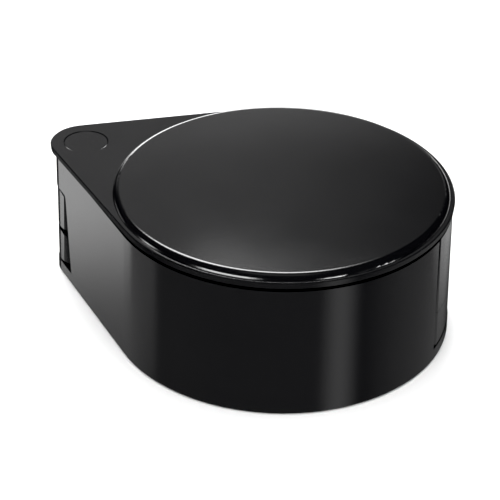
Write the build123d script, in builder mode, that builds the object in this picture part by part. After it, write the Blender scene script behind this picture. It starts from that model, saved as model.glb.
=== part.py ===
"""Folding hand lens: two framed magnifiers that swing out of a teardrop case on one pin.

Millimetres, +Z up. The origin is the middle of the foot of the case. The lenses are on +X, the pivot
on -X, and the case is open towards +Y, where the frames swing out.
"""

import os
from math import asin, cos, degrees, radians, sin, tan

from build123d import *

os.makedirs("parts", exist_ok=True)

# ---- Case plan ----
pivot_to_lens = 20.6  # pivot axis to lens axis
foot_radius = 16.1  # outside of the case round the lenses, at the foot
foot_tip_radius = 3.1  # outside of the case round the pivot, at the foot
draft_angle = 0.9  # degrees, the outside of the case narrows upwards
wall_thickness = 1.5  # at the foot
seam_angle = -3.0  # degrees round the lens axis, where the wall ends at the nose
wall_end_offset = 2.2  # how far past the round of the pivot the wall begins
wall_end_lean = 1.1  # how much nearer the pivot it begins at its top than at its foot
window_corner = 0.4  # rounding of the wall's corner under the hub
foot_chamfer = 0.2

# ---- Case heights ----
floor_thickness = 1.25
lower_frame_height = 3.63
upper_knuckle_height = 4.42
hub_height = 3.5
slide_gap = 0.06  # between parts that slide over each other

# ---- Cover ----
plate_inset = 0.1  # edge of the plate inside the case's foot, round the lenses
plate_tip_overhang = 0.3  # and outside it, round the pivot
plate_thickness = 0.6
plate_edge_bevel = 0.08
plate_undercut = 0.06  # how far the plate's edge leans in at the bottom
spigot_height = 0.36  # plate to the top of the wall
spigot_inset = 0.55  # groove under the edge of the plate
ledge_width = 0.35  # of the plate round the disc
disc_height = 0.47  # plate to the edge of the crown
disc_shoulder = 0.7  # rounding of the disc's rim
disc_crown = 0.4
disc_rim_width = 2.3  # round the hollow under the disc
disc_relief_depth = 0.65
dimple_radius = 2.15
dimple_slope_width = 0.1
dimple_depth = 0.06
peg_radius = 0.27
peg_length = 1.0
peg_clearance = 0.03
peg_count = 3
peg_start_angle = -118.0  # degrees round the lens axis
peg_spread = 88.0

# ---- Pivot ----
pin_radius = 1.0
pin_head_radius = 1.9
pin_head_thickness = 0.45
pin_head_inset = 0.05  # head above the underside of the foot
pin_tip_chamfer = 0.2
knuckle_bore_clearance = 0.05
knuckle_chamfer = 0.2
knuckle_chamfer_arc = 140.0  # degrees, from the open side's flank round to the wall
knuckle_clearance = 0.1  # knuckle to the end of the wall
washer_radius = 1.85
washer_thickness = 0.26
washer_clearance = 0.05
washer_play = 0.02
spring_washer_height = 0.5
spring_washer_thickness = 0.18
retainer_thickness = 0.4
retainer_radius = 1.8
retainer_pocket_depth = 1.1
retainer_pocket_radius = 1.9

# ---- Lens frames ----
frame_clearance = 0.15  # frame to the inside of the wall
rim_inset = 0.06  # open-side rims to the outline of the case
seam_gap = 0.6  # frame's shoulder to the end of the wall at the nose
seam_bevel = 0.3  # off the corner of the frame's shoulder, at the foot
hub_swing_radius = 3.5  # upper frame beside the hub, round the pivot
grip_groove_radius = 0.3
grip_groove_depth = 0.22
grip_groove_count = 11
grip_start_angle = 62.0
grip_angle = 46.0

# ---- Lenses ----
lens_radius = 12.5
lens_fit = 0.05  # lens and rings in their bore
seat_width = 0.6  # ledge under the edge of a lens, and the rings over it
cap_margin = 0.05  # seat to the curved part of a lens
flange_thickness = 0.9
reading_lens_sag = 0.85
strong_lens_sag = 1.7
lower_seat_height = 1.05  # frame's underside to its seat
upper_seat_height = 1.0
spacer_height = 4.0
retaining_ring_height = 0.8
ring_chamfer = 0.2
frame_mouth_chamfer = 0.3

# ---- Worked out from the above ----
cavity_radius = foot_radius - wall_thickness
cavity_tip_radius = foot_tip_radius - wall_thickness
plate_radius = foot_radius - plate_inset
plate_tip_radius = foot_tip_radius + plate_tip_overhang
disc_radius = plate_radius - ledge_width
foot_reach = max(foot_radius, plate_radius)
tip_reach = max(foot_tip_radius, plate_tip_radius)
lens_x = (pivot_to_lens + tip_reach - foot_reach) / 2
pivot_x = lens_x - pivot_to_lens
lower_frame_z = floor_thickness + slide_gap
upper_frame_z = lower_frame_z + lower_frame_height + slide_gap
hub_z = upper_frame_z + upper_knuckle_height + slide_gap
wall_top_z = hub_z + hub_height
plate_z = wall_top_z + spigot_height
plate_top_z = plate_z + plate_thickness
lower_frame_top_z = lower_frame_z + lower_frame_height
upper_knuckle_top_z = upper_frame_z + upper_knuckle_height
upper_frame_top_z = wall_top_z - slide_gap
hub_reach = foot_tip_radius + knuckle_clearance
pin_head_recess = pin_head_inset + pin_head_thickness
pin_bore_radius = pin_radius + knuckle_bore_clearance
recess_radius = washer_radius + washer_clearance
lens_bore_radius = lens_radius + lens_fit
seat_radius = lens_radius - seat_width
clear_radius = seat_radius - cap_margin
taper_slope = tan(radians(draft_angle))
peg_circle = (cavity_radius + plate_radius - spigot_inset) / 2
far = 3 * foot_radius  # reaches past everything

lens_axis = Axis((lens_x, 0, 0), (0, 0, 1))
pivot_axis = Axis((pivot_x, 0, 0), (0, 0, 1))
lens_section = Plane(origin=(lens_x, 0, 0), x_dir=(1, 0, 0), z_dir=(0, -1, 0))
pivot_section = Plane(origin=(pivot_x, 0, 0), x_dir=(1, 0, 0), z_dir=(0, -1, 0))

# Flat of the wall at the pivot: x runs along the wall towards the lenses, y up, z outwards.
flank_angle = asin((foot_radius - foot_tip_radius) / pivot_to_lens)
flank_normal = (-sin(flank_angle), -cos(flank_angle), 0)
flank_plane = Plane(
    origin=(
        pivot_x + foot_tip_radius * flank_normal[0],
        foot_tip_radius * flank_normal[1],
        0,
    ),
    x_dir=(cos(flank_angle), -sin(flank_angle), 0),
    z_dir=flank_normal,
)


def teardrop(big_radius, small_radius):
    """Round ends about the lens axis and the pivot, joined by their tangents."""
    with Locations((lens_x, 0)):
        Circle(big_radius)
    with Locations((pivot_x, 0)):
        Circle(small_radius)
    make_hull()


def seam_point(along, gap):
    """A point along the nose seam from the lens axis, and gap to its open side."""
    angle = radians(seam_angle)
    return (lens_x + along * cos(angle) - gap * sin(angle), along * sin(angle) + gap * cos(angle))


def open_side(gap):
    """Everything on the open side of the nose seam, gap away from it."""
    Polygon(
        seam_point(0, gap),
        seam_point(far, gap),
        (lens_x + far, far),
        (pivot_x - far, far),
        (pivot_x - far, gap),
        align=None,
    )


def round_cut(axis_x, z, radius, height):
    """Take a round hole or pocket out of the current part, from z upwards."""
    with BuildSketch(Plane.XY.offset(z)) as hole:
        with Locations((axis_x, 0)):
            Circle(radius)
    extrude(hole.sketch, amount=height, mode=Mode.SUBTRACT)


def pegs(radius, length, mode=Mode.ADD):
    """Round pegs down from the top of the wall, or holes for them."""
    with BuildSketch(Plane((lens_x, 0, wall_top_z))) as row:
        with PolarLocations(
            peg_circle,
            peg_count,
            start_angle=peg_start_angle,
            angular_range=peg_spread,
            endpoint=True,
        ):
            Circle(radius)
    extrude(row.sketch, amount=-length, mode=mode)


def ring(axis_x, z, outer_radius, inner_radius, height):
    """A flat ring about an axis in the current part."""
    with BuildSketch(Plane.XY.offset(z)) as section:
        with Locations((axis_x, 0)):
            Circle(outer_radius)
            Circle(inner_radius, mode=Mode.SUBTRACT)
    extrude(section.sketch, amount=height)


def lens_solid(flange_z, sag_below, sag_above):
    """A round lens with a flat flange: each face is a cap of the given sag, or flat at 0."""
    flange_top = flange_z + flange_thickness
    with BuildSketch(lens_section) as half_section:
        with BuildLine():
            Line((0, flange_z - sag_below), (0, flange_top + sag_above))
            if sag_above:
                TangentArc((0, flange_top + sag_above), (clear_radius, flange_top), tangent=(1, 0))
                Line((clear_radius, flange_top), (lens_radius, flange_top))
            else:
                Line((0, flange_top), (lens_radius, flange_top))
            Line((lens_radius, flange_top), (lens_radius, flange_z))
            if sag_below:
                Line((lens_radius, flange_z), (clear_radius, flange_z))
                TangentArc((0, flange_z - sag_below), (clear_radius, flange_z), tangent=(1, 0))
            else:
                Line((lens_radius, flange_z), (0, flange_z))
        make_face()
    revolve(half_section.sketch, axis=lens_axis)


def teardrop_block(radius, tip_radius, levels):
    """A teardrop with straight sides from one level to the next, each a height and an inset."""
    outlines = []
    for z, inset in levels:
        with BuildSketch(Plane.XY.offset(z)) as outline:
            teardrop(radius - inset, tip_radius - inset)
        outlines.append(outline.sketch)
    loft(outlines, ruled=True)


def tapered_outline(inset):
    """The case's outer form, set in all round: a bevelled foot, then straight to the wall's top."""
    top_inset = inset + (wall_top_z - foot_chamfer) * taper_slope
    levels = ((0, inset + foot_chamfer), (foot_chamfer, inset), (wall_top_z, top_inset))
    teardrop_block(foot_radius, foot_tip_radius, levels)


def frame_plan(z, height):
    """Full height of a frame: inside the wall, out to the outline on the open side, and knuckle."""
    with BuildSketch(Plane.XY.offset(z)) as plan:
        teardrop(cavity_radius - frame_clearance, cavity_tip_radius - frame_clearance)
        open_side(seam_gap)
        bevel_start = foot_radius - seam_bevel
        Polygon(
            seam_point(bevel_start, seam_gap),
            seam_point(far, seam_gap),
            seam_point(far, seam_gap + far - bevel_start),
            align=None,
            mode=Mode.SUBTRACT,
        )
        with Locations((pivot_x, 0)):
            Circle(foot_tip_radius)
    extrude(plan.sketch, amount=height)


def lens_bore(z, seat_height, top_z):
    """Clear opening, seat for the lens, and bore up to the frame's top face, bevelled at its ends."""
    round_cut(lens_x, z, seat_radius, seat_height)
    round_cut(lens_x, z + seat_height, lens_bore_radius, top_z - z - seat_height)
    for mouth_z, mouth_radius, inward in ((z, seat_radius, 1), (top_z, lens_bore_radius, -1)):
        with BuildSketch(lens_section) as bevel:
            Polygon(
                (mouth_radius - frame_mouth_chamfer, mouth_z),
                (mouth_radius + frame_mouth_chamfer, mouth_z),
                (mouth_radius - frame_mouth_chamfer, mouth_z + 2 * inward * frame_mouth_chamfer),
                align=None,
            )
        revolve(bevel.sketch, axis=lens_axis, mode=Mode.SUBTRACT)


def knuckle_edge(z, fall):
    """Bevel a knuckle's edge at z; fall is +1 for its top face and -1 for its bottom face."""
    start_angle = 90 + degrees(flank_angle)
    edge_radius = foot_tip_radius - rim_inset - z * taper_slope
    section_plane = Plane(
        origin=(pivot_x, 0, z),
        x_dir=(cos(radians(start_angle)), sin(radians(start_angle)), 0),
        z_dir=(sin(radians(start_angle)), -cos(radians(start_angle)), 0),
    )
    outside = edge_radius + knuckle_chamfer
    with BuildSketch(section_plane) as bevel:
        Polygon(
            (edge_radius - knuckle_chamfer, 0),
            (outside, -2 * fall * knuckle_chamfer),
            (outside, fall * slide_gap),
            (edge_radius - knuckle_chamfer, fall * slide_gap),
            align=None,
        )
    revolve(bevel.sketch, axis=pivot_axis, revolution_arc=knuckle_chamfer_arc, mode=Mode.SUBTRACT)


def grip_grooves(z, height):
    """Upright grooves in the open-side rim, where a thumbnail swings the frame out."""
    rim_radius = foot_radius - rim_inset - (z + height / 2 - foot_chamfer) * taper_slope
    with BuildSketch(Plane((lens_x, 0, z))) as grooves:
        with PolarLocations(
            rim_radius - grip_groove_depth + grip_groove_radius,
            grip_groove_count,
            start_angle=grip_start_angle,
            angular_range=grip_angle,
            endpoint=True,
        ):
            Circle(grip_groove_radius)
    extrude(grooves.sketch, amount=height, mode=Mode.SUBTRACT)


# ---- Forms that several pieces are cut from ----
with BuildPart() as case_form:
    tapered_outline(0)

with BuildPart() as rim_form:
    tapered_outline(rim_inset)

# ---- Case body: floor, front wall and hub in one moulding ----
with BuildPart() as case_body:
    add(case_form.part)
    with BuildSketch(Plane.XY.offset(floor_thickness)):
        teardrop(cavity_radius, cavity_tip_radius)
        open_side(0)
        with Locations((pivot_x, 0)):
            Circle(hub_reach)
    extrude(amount=hub_z - floor_thickness, mode=Mode.SUBTRACT)
    with BuildSketch(Plane.XY.offset(hub_z)):
        teardrop(cavity_radius, cavity_tip_radius)
        open_side(0)
        with Locations((pivot_x, 0)):
            Circle(hub_reach, mode=Mode.SUBTRACT)
    extrude(amount=wall_top_z - hub_z, mode=Mode.SUBTRACT)
    # The wall stops short of the knuckles.
    with BuildSketch(flank_plane) as window:
        Polygon(
            (-far, floor_thickness),
            (wall_end_offset + wall_end_lean / 2, floor_thickness),
            (wall_end_offset - wall_end_lean / 2, hub_z),
            (-far, hub_z),
            align=None,
        )
        fillet(window.vertices().sort_by(Axis.X)[-2], window_corner)
    extrude(amount=foot_tip_radius, both=True, mode=Mode.SUBTRACT)
    round_cut(pivot_x, 0, pin_head_radius + pin_head_inset, pin_head_recess)
    round_cut(pivot_x, 0, pin_radius, wall_top_z)
    round_cut(pivot_x, wall_top_z - retainer_pocket_depth, retainer_pocket_radius, retainer_pocket_depth)
    pegs(peg_radius + peg_clearance, peg_length + peg_clearance, Mode.SUBTRACT)

# ---- Case cover: plate on its spigot, domed disc, dimple and pegs in one moulding ----
with BuildPart() as case_cover:
    edge_top_z = plate_top_z - plate_edge_bevel
    plate_levels = ((plate_z, plate_undercut), (edge_top_z, 0), (plate_top_z, plate_edge_bevel))
    teardrop_block(plate_radius, plate_tip_radius, plate_levels)
    with BuildSketch(Plane.XY.offset(wall_top_z)):
        teardrop(plate_radius - spigot_inset, plate_tip_radius - spigot_inset)
    extrude(amount=spigot_height)
    with BuildSketch(lens_section) as disc_section:
        with BuildLine():
            crown_edge = (disc_radius, plate_top_z + disc_height)
            crown_top = (0, plate_top_z + disc_height + disc_crown)
            Polyline(crown_top, (0, plate_z), (disc_radius, plate_z), crown_edge)
            TangentArc(crown_top, crown_edge, tangent=(1, 0))
        make_face()
        rim_corners = disc_section.vertices().group_by(Axis.X)[-1]
        fillet(rim_corners.sort_by(Axis.Y)[-1], disc_shoulder)
    revolve(axis=lens_axis)
    round_cut(lens_x, wall_top_z, disc_radius - disc_rim_width, disc_relief_depth)
    with BuildSketch(pivot_section):
        Polygon(
            (0, plate_top_z - dimple_depth),
            (dimple_radius - dimple_slope_width, plate_top_z - dimple_depth),
            (dimple_radius, plate_top_z),
            (dimple_radius, plate_top_z + dimple_depth),
            (0, plate_top_z + dimple_depth),
            align=None,
        )
    revolve(axis=pivot_axis, mode=Mode.SUBTRACT)
    pegs(peg_radius, peg_length)

# ---- Lower lens frame with the reading lens ----
with BuildPart() as lower_lens_frame:
    frame_plan(lower_frame_z, lower_frame_height)
    add(rim_form.part, mode=Mode.INTERSECT)
    lens_bore(lower_frame_z, lower_seat_height, lower_frame_top_z)
    round_cut(pivot_x, lower_frame_z, pin_bore_radius, lower_frame_height)
    lower_recess = washer_thickness + washer_play - slide_gap
    round_cut(pivot_x, lower_frame_z, recess_radius, lower_recess)
    round_cut(pivot_x, lower_frame_top_z - lower_recess, recess_radius, lower_recess)
    knuckle_edge(lower_frame_z, -1)
    knuckle_edge(lower_frame_top_z, 1)
    grip_grooves(lower_frame_z, lower_frame_height)

reading_lens_z = lower_frame_z + lower_seat_height
with BuildPart() as reading_lens:
    lens_solid(reading_lens_z, reading_lens_sag, reading_lens_sag)

with BuildPart() as lower_retaining_ring:
    ring_z = reading_lens_z + flange_thickness
    ring(lens_x, ring_z, lens_bore_radius, seat_radius, retaining_ring_height)
    inner_edges = lower_retaining_ring.edges().filter_by(GeomType.CIRCLE).sort_by(SortBy.RADIUS)[:2]
    chamfer(inner_edges.sort_by(Axis.Z)[-1], ring_chamfer)

# ---- Upper lens frame with the two strong lenses ----
with BuildPart() as upper_lens_frame:
    frame_plan(upper_frame_z, upper_frame_top_z - upper_frame_z)
    add(rim_form.part, mode=Mode.INTERSECT)
    round_cut(pivot_x, upper_knuckle_top_z, hub_swing_radius, hub_height)
    lens_bore(upper_frame_z, upper_seat_height, upper_frame_top_z)
    round_cut(pivot_x, upper_frame_z, pin_bore_radius, upper_knuckle_height)
    spring_recess = spring_washer_height + washer_play - slide_gap
    round_cut(pivot_x, upper_knuckle_top_z - spring_recess, recess_radius, spring_recess)
    knuckle_edge(upper_frame_z, -1)
    knuckle_edge(upper_knuckle_top_z, 1)
    grip_grooves(upper_frame_z, upper_frame_top_z - upper_frame_z)

field_lens_z = upper_frame_z + upper_seat_height
with BuildPart() as field_lens:
    lens_solid(field_lens_z, 0, strong_lens_sag)

spacer_z = field_lens_z + flange_thickness
with BuildPart() as lens_spacer:
    ring(lens_x, spacer_z, lens_bore_radius, seat_radius, spacer_height)

eye_lens_z = spacer_z + spacer_height
with BuildPart() as eye_lens:
    lens_solid(eye_lens_z, strong_lens_sag, 0)

with BuildPart() as upper_retaining_ring:
    ring_z = eye_lens_z + flange_thickness
    ring(lens_x, ring_z, lens_bore_radius, seat_radius, retaining_ring_height)
    inner_edges = upper_retaining_ring.edges().filter_by(GeomType.CIRCLE).sort_by(SortBy.RADIUS)[:2]
    chamfer(inner_edges.sort_by(Axis.Z)[-1], ring_chamfer)

# ---- Pivot ----
with BuildPart() as pivot_pin:
    retainer_z = wall_top_z - retainer_pocket_depth
    pin_top_z = retainer_z + 2 * retainer_thickness
    with BuildSketch(Plane.XY.offset(pin_head_inset)):
        with Locations((pivot_x, 0)):
            Circle(pin_head_radius)
    extrude(amount=pin_head_thickness)
    with BuildSketch(Plane.XY.offset(pin_head_inset)):
        with Locations((pivot_x, 0)):
            Circle(pin_radius)
    extrude(amount=pin_top_z - pin_head_inset)
    chamfer(pivot_pin.edges().sort_by(Axis.Z)[-1], pin_tip_chamfer)

with BuildPart() as pin_retainer:
    ring(pivot_x, retainer_z, retainer_radius, pin_radius, retainer_thickness)

with BuildPart() as bottom_washer:
    ring(pivot_x, floor_thickness, washer_radius, pin_bore_radius, washer_thickness)

with BuildPart() as middle_washer:
    middle_washer_z = upper_frame_z - washer_play / 2 - washer_thickness
    ring(pivot_x, middle_washer_z, washer_radius, pin_bore_radius, washer_thickness)

with BuildPart() as spring_washer:
    spring_top = hub_z - washer_play / 2
    spring_foot = spring_top - spring_washer_height
    with BuildSketch(pivot_section):
        with BuildLine():
            Polyline(
                (washer_radius, spring_foot),
                (washer_radius, spring_foot + spring_washer_thickness),
                (pin_bore_radius, spring_top),
                (pin_bore_radius, spring_top - spring_washer_thickness),
                close=True,
            )
        make_face()
    revolve(axis=pivot_axis)

pieces = {
    "case_body": case_body,
    "case_cover": case_cover,
    "pivot_pin": pivot_pin,
    "pin_retainer": pin_retainer,
    "spring_washer": spring_washer,
    "middle_washer": middle_washer,
    "bottom_washer": bottom_washer,
    "upper_lens_frame": upper_lens_frame,
    "field_lens": field_lens,
    "lens_spacer": lens_spacer,
    "eye_lens": eye_lens,
    "upper_retaining_ring": upper_retaining_ring,
    "lower_lens_frame": lower_lens_frame,
    "reading_lens": reading_lens,
    "lower_retaining_ring": lower_retaining_ring,
}
for name, piece in pieces.items():
    piece.part.label = name
    export_step(piece.part, f"parts/{name}.step")
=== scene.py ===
"""Looks of the folding hand lens: plastics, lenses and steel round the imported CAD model."""

from math import cos, pi, radians, sin, tan

import bpy
from mathutils import Matrix, Vector


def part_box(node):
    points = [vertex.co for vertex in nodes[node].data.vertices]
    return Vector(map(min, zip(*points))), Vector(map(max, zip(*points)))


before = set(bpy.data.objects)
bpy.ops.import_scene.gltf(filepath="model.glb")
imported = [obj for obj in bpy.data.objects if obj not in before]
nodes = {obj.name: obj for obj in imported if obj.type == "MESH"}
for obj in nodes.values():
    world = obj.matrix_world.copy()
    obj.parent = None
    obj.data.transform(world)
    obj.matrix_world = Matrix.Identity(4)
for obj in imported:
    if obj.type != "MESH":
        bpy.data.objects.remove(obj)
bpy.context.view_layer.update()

MM = 0.001

# ---- Camera ----
CAMERA_AZIMUTH = 24.5  # degrees, 0 looks along +Y
CAMERA_ELEVATION = 32.1
CAMERA_ROLL = 0.77
CAMERA_DISTANCE = 192.2 * MM
CAMERA_LENS = 145.5  # millimetres on a 36 mm sensor
CAMERA_TARGET = Vector((0.69, 0.26, 6.25)) * MM

# ---- Light ----
FLOOR_RADIUS = 4.0
FLOOR_COLOUR = (0.86, 0.86, 0.86)
BLACK_LEVEL = 0.0035  # linear light that is shown as black
FLOOR_LIGHT_ELEVATION = 88
FLOOR_LIGHT_DISTANCE = 0.6
FLOOR_LIGHT_SPREAD = 60  # degrees that it covers, seen from the object
FLOOR_LIGHT_RADIANCE = 4.3
HORIZON_BLUR = 0.02  # height in the unit sphere over which sky and floor glare meet
STRAY_GLARE = 0.03  # what every direction below the horizon gives

# ---- Finishes: colours, roughness and depth of grain ----
CASE_BLACK = (0.0025, 0.0025, 0.0028)
CASE_ROUGHNESS = 0.1
FRAME_BLACK = (0.003, 0.003, 0.0033)
FRAME_ROUGHNESS = 0.12
RING_BLACK = (0.02, 0.02, 0.021)
RING_ROUGHNESS = 0.42
NYLON_WHITE = (0.62, 0.6, 0.54)
NYLON_ROUGHNESS = 0.5
FINE_GRAIN = 0.02 * MM
COARSE_GRAIN = 0.03 * MM
PLASTIC_IOR = 1.52
LENS_TINT = (0.98, 1.0, 0.99)
LENS_IOR = 1.49
PIN_COLOUR = (0.62, 0.61, 0.6)
PIN_ROUGHNESS = 0.25
SPRING_COLOUR = (0.42, 0.42, 0.44)
SPRING_ROUGHNESS = 0.35
TURNING_DEPTH = 0.02 * MM

# ---- Patterns on the finishes, in features per metre ----
GRAIN_SCALE = 5500
FLOW_SCALE = 160
SCRATCH_SCALE = 900
SMEAR_SCALE = 220
TURNING_SCALE = 3500
STEEL_SHADE_SCALE = 700


def direction(azimuth, elevation):
    """Unit vector towards a place seen from the object; azimuth 0 is -Y, 90 is +X."""
    a = radians(azimuth)
    e = radians(elevation)
    return Vector((sin(a) * cos(e), -cos(a) * cos(e), sin(e)))


def make_camera():
    """The photograph's angle."""
    back = direction(CAMERA_AZIMUTH, CAMERA_ELEVATION)
    camera = bpy.data.objects.new("camera", bpy.data.cameras.new("camera"))
    camera.data.lens = CAMERA_LENS
    camera.data.sensor_width = 36
    camera.data.clip_start = 0.01
    camera.data.clip_end = 20
    facing = (-back).to_track_quat("-Z", "Y").to_matrix().to_4x4()
    roll = Matrix.Rotation(radians(CAMERA_ROLL), 4, "Z")
    camera.matrix_world = Matrix.Translation(CAMERA_TARGET + back * CAMERA_DISTANCE) @ facing @ roll
    bpy.context.scene.collection.objects.link(camera)
    bpy.context.scene.camera = camera


class Nodes:
    """Short names for building a node tree."""

    def __init__(self, tree):
        self.tree = tree
        self.tree.nodes.clear()

    def add(self, kind, inputs=None, **settings):
        """A node of that kind; inputs maps a socket to a value or to another node's socket."""
        node = self.tree.nodes.new(kind)
        for name, value in settings.items():
            setattr(node, name, value)
        for name, value in (inputs or {}).items():
            self.put(node.inputs[name], value)
        return node

    def put(self, socket, value):
        """Link a socket, or set its value."""
        if isinstance(value, bpy.types.NodeSocket):
            self.tree.links.new(value, socket)
        else:
            socket.default_value = value

    def math(self, operation, *values):
        """One math node's result."""
        node = self.add("ShaderNodeMath", operation=operation)
        for socket, value in zip(node.inputs, values):
            self.put(socket, value)
        return node.outputs[0]

    def spread(self, value, low, high, to_low, to_high, smooth=True):
        """value taken from low..high to to_low..to_high."""
        node = self.add(
            "ShaderNodeMapRange",
            {"Value": value, "From Min": low, "From Max": high, "To Min": to_low, "To Max": to_high},
            interpolation_type="SMOOTHSTEP" if smooth else "LINEAR",
        )
        return node.outputs["Result"]

    def noise(self, place, scale, detail, roughness):
        """Noise of a scale in features per metre."""
        node = self.add(
            "ShaderNodeTexNoise",
            {"Vector": place, "Scale": scale, "Detail": detail, "Roughness": roughness},
        )
        return node.outputs["Fac"]

    def tint(self, mix, colour, low, high):
        """A colour that wanders between two shares of itself."""
        node = self.add("ShaderNodeMixRGB", {"Fac": mix})
        node.inputs["Color1"].default_value = (*[c * low for c in colour], 1)
        node.inputs["Color2"].default_value = (*[c * high for c in colour], 1)
        return node.outputs[0]

    def close(self, kind, shader):
        """The output node of a material or a world, fed by its shader."""
        self.put(self.add(kind).inputs["Surface"], shader.outputs[0])


def new_material(name):
    """A material with an empty node tree, and the tree's builder."""
    material = bpy.data.materials.new(name)
    material.use_nodes = True
    return material, Nodes(material.node_tree)


def make_world():
    """A studio all round: soft lights and reflectors, each a rectangle seen from the object."""
    world = bpy.data.worlds.new("studio")
    world.use_nodes = True
    bpy.context.scene.world = world
    build = Nodes(world.node_tree)
    facing = build.add("ShaderNodeTexCoord").outputs["Generated"]
    height = build.add("ShaderNodeSeparateXYZ", {"Vector": facing}).outputs["Z"]

    def part_along(axis):
        """How far the view direction goes along an axis."""
        return build.add(
            "ShaderNodeVectorMath", {0: facing, 1: axis}, operation="DOT_PRODUCT"
        ).outputs["Value"]

    def panel(azimuth, elevation, width, tall, softness, strength):
        """A rectangle of light in degrees, its edges blurred inwards and outwards by softness."""
        towards = direction(azimuth, elevation)
        side = Vector((towards.y, -towards.x, 0)).normalized()
        ahead = build.math("MAXIMUM", part_along(towards), 0.01)
        light = strength
        for axis, size in ((side, width), (towards.cross(side), tall)):
            offset = build.math("ABSOLUTE", build.math("DIVIDE", part_along(axis), ahead))
            inner = tan(radians(max(size / 2 - softness, 0)))
            outer = tan(radians(size / 2 + softness))
            light = build.math("MULTIPLY", build.spread(offset, inner, outer, 1, 0), light)
        return light

    def total(parts):
        """The sum of several lights."""
        whole = parts[0]
        for part in parts[1:]:
            whole = build.math("ADD", whole, part)
        return whole

    sky = total([
        panel(-147, 30, 24, 24, 8, 0.40),  # what the top shows: darker to the right
        panel(-152, 17, 44, 12, 6, 0.45),  # brighter towards the horizon behind
        panel(-146, 51, 24, 16, 4, 15),  # softbox behind: first line round the disc
        panel(-153.2, 39.5, 1, 5, 2, 2.2),  # its glow on the front of the dome
        panel(-10, 14, 34, 16, 5, 16),  # low softbox in front: second line, to the left
        panel(76, 3, 50, 14, 4, 24),  # strip light to the right: second line, to the right
        panel(-68, 7, 10, 12, 5, 10),  # strip light to the left
        panel(-149, 8, 20, 14, 5, 9),  # the disc's far edge
        panel(24, 85, 24, 24, 6, 0.45),  # overhead: the top seen from above
    ])
    floor_glare = total([
        panel(-104, -16, 18, 31, 1.5, 1.1),  # on the wall that runs to the pivot
        panel(-90, -30, 40, 12, 4, 0.34),  # that wall's foot, and its bend into the round
        panel(0, -33, 150, 50, 20, 0.12),  # the dark front
        panel(65, -32, 12, 30, 8, 0.75),  # narrow upright band on the front
        panel(132, -30, 60, 40, 20, 0.2),  # brighter towards the right
        panel(168, -18, 42, 26, 3, 1.1),  # the strip past the nose seam
        panel(-165, -12, 130, 16, 5, 0.35),  # the open side seen from behind
    ])
    floor_glare = build.math("ADD", floor_glare, STRAY_GLARE)
    above = build.spread(height, -HORIZON_BLUR, HORIZON_BLUR, 0, 1)
    below = build.math("SUBTRACT", 1.0, above)
    strength = total([build.math("MULTIPLY", sky, above), build.math("MULTIPLY", floor_glare, below)])
    background = build.add("ShaderNodeBackground", {"Strength": strength})
    background.inputs["Color"].default_value = (1, 1, 1, 1)
    build.close("ShaderNodeOutputWorld", background)


def make_floor_light():
    """A softbox overhead that whitens the floor and leaves no reflection on the object."""
    size = 2 * FLOOR_LIGHT_DISTANCE * tan(radians(FLOOR_LIGHT_SPREAD / 2))
    light = bpy.data.lights.new("overhead", "AREA")
    light.shape = "SQUARE"
    light.size = size
    light.energy = FLOOR_LIGHT_RADIANCE * pi * size * size
    lamp = bpy.data.objects.new("overhead", light)
    lamp.visible_glossy = False
    back = direction(0, FLOOR_LIGHT_ELEVATION)
    turned = back.to_track_quat("Z", "Y").to_matrix().to_4x4()
    lamp.matrix_world = Matrix.Translation(back * FLOOR_LIGHT_DISTANCE) @ turned
    bpy.context.scene.collection.objects.link(lamp)


def make_floor():
    """A pale round floor, wide enough to fill every view."""
    bpy.ops.mesh.primitive_circle_add(vertices=96, radius=FLOOR_RADIUS, fill_type="NGON")
    floor = bpy.context.object
    floor.name = "floor"
    floor.visible_glossy = False
    material, build = new_material("floor_paper")
    build.close(
        "ShaderNodeOutputMaterial", build.add("ShaderNodeBsdfDiffuse", {"Color": (*FLOOR_COLOUR, 1)})
    )
    floor.data.materials.append(material)


def plastic(name, colour, roughness, grain_height):
    """Moulded black plastic: fine grain, faint flow marks and fine handling scratches."""
    material, build = new_material(name)
    place = build.add("ShaderNodeTexCoord").outputs["Object"]
    grain = build.noise(place, GRAIN_SCALE, 4, 0.55)
    flow = build.noise(place, FLOW_SCALE, 4, 0.6)
    stretched = build.add("ShaderNodeMapping", {"Vector": place})
    stretched.inputs["Scale"].default_value = (1, 14, 3)
    stretched.inputs["Rotation"].default_value = (0.3, 0.2, 0.7)
    scratch = build.noise(stretched.outputs[0], SCRATCH_SCALE, 5, 0.7)
    fine_lines = build.spread(scratch, 0.62, 0.68, 0, 1)
    rough = build.spread(flow, 0.3, 0.7, roughness * 0.88, roughness * 1.12)
    rough = build.math("ADD", rough, build.math("MULTIPLY", fine_lines, 0.03))
    tint = build.tint(flow, colour, 0.85, 1.15)
    bump = build.add("ShaderNodeBump", {"Height": grain, "Strength": 0.25, "Distance": grain_height})
    shader = build.add(
        "ShaderNodeBsdfPrincipled",
        {"Base Color": tint, "Roughness": rough, "Normal": bump.outputs[0], "IOR": PLASTIC_IOR},
    )
    build.close("ShaderNodeOutputMaterial", shader)
    return material


def clear_lens(name):
    """Polished lens, with the faintest smear of dust on its surface."""
    material, build = new_material(name)
    place = build.add("ShaderNodeTexCoord").outputs["Object"]
    smear = build.noise(place, SMEAR_SCALE, 4, 0.6)
    rough = build.spread(smear, 0.45, 0.75, 0.0, 0.03)
    shader = build.add(
        "ShaderNodeBsdfPrincipled",
        {"Roughness": rough, "IOR": LENS_IOR, "Transmission Weight": 1.0},
    )
    shader.inputs["Base Color"].default_value = (*LENS_TINT, 1)
    build.close("ShaderNodeOutputMaterial", shader)
    return material


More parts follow.
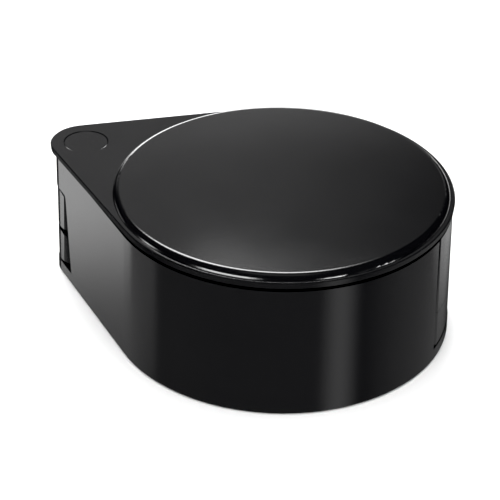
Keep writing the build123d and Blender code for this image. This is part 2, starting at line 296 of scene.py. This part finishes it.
def turned_steel(name, colour, axis_x, roughness):
    """Steel with fine rings about an upright axis."""
    material, build = new_material(name)
    place = build.add("ShaderNodeTexCoord").outputs["Object"]
    centred = build.add("ShaderNodeVectorMath", {0: place, 1: (axis_x, 0, 0)}, operation="SUBTRACT")
    rings = build.add(
        "ShaderNodeTexWave",
        {"Vector": centred.outputs[0], "Scale": TURNING_SCALE, "Distortion": 1.5, "Detail": 3.0},
        wave_type="RINGS",
        rings_direction="Z",
    )
    turning = rings.outputs["Fac"]
    rough = build.spread(turning, 0, 1, roughness * 0.8, roughness * 1.25, smooth=False)
    bump = build.add(
        "ShaderNodeBump", {"Height": turning, "Strength": 0.15, "Distance": TURNING_DEPTH}
    )
    shade = build.noise(place, STEEL_SHADE_SCALE, 3, 0.5)
    tint = build.tint(shade, colour, 0.9, 1)
    shader = build.add(
        "ShaderNodeBsdfPrincipled",
        {"Base Color": tint, "Metallic": 1.0, "Roughness": rough, "Normal": bump.outputs[0]},
    )
    build.close("ShaderNodeOutputMaterial", shader)
    return material


def dress(node, material):
    """Give a CAD node its finished material."""
    slots = nodes[node].data.materials
    slots.clear()
    slots.append(material)


grade = bpy.context.scene.view_settings
grade.view_transform = "Standard"
grade.use_curve_mapping = True
grade.curve_mapping.black_level = (BLACK_LEVEL, BLACK_LEVEL, BLACK_LEVEL)
make_camera()
make_world()
make_floor()
make_floor_light()

pivot_low, pivot_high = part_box("pivot_pin")
pivot_x = (pivot_low.x + pivot_high.x) / 2

case_plastic = plastic("case_plastic", CASE_BLACK, CASE_ROUGHNESS, FINE_GRAIN)
frame_plastic = plastic("frame_plastic", FRAME_BLACK, FRAME_ROUGHNESS, FINE_GRAIN)
ring_plastic = plastic("ring_plastic", RING_BLACK, RING_ROUGHNESS, COARSE_GRAIN)
nylon = plastic("nylon", NYLON_WHITE, NYLON_ROUGHNESS, FINE_GRAIN)
lens_clear = clear_lens("lens_clear")
pin_steel = turned_steel("pin_steel", PIN_COLOUR, pivot_x, PIN_ROUGHNESS)
spring_steel = turned_steel("spring_steel", SPRING_COLOUR, pivot_x, SPRING_ROUGHNESS)

FINISHES = {
    "case_body": case_plastic,
    "case_cover": case_plastic,
    "upper_lens_frame": frame_plastic,
    "lower_lens_frame": frame_plastic,
    "lens_spacer": ring_plastic,
    "upper_retaining_ring": ring_plastic,
    "lower_retaining_ring": ring_plastic,
    "field_lens": lens_clear,
    "eye_lens": lens_clear,
    "reading_lens": lens_clear,
    "pivot_pin": pin_steel,
    "pin_retainer": spring_steel,
    "spring_washer": spring_steel,
    "middle_washer": nylon,
    "bottom_washer": nylon,
}
for node_name, finish in FINISHES.items():
    dress(node_name, finish)
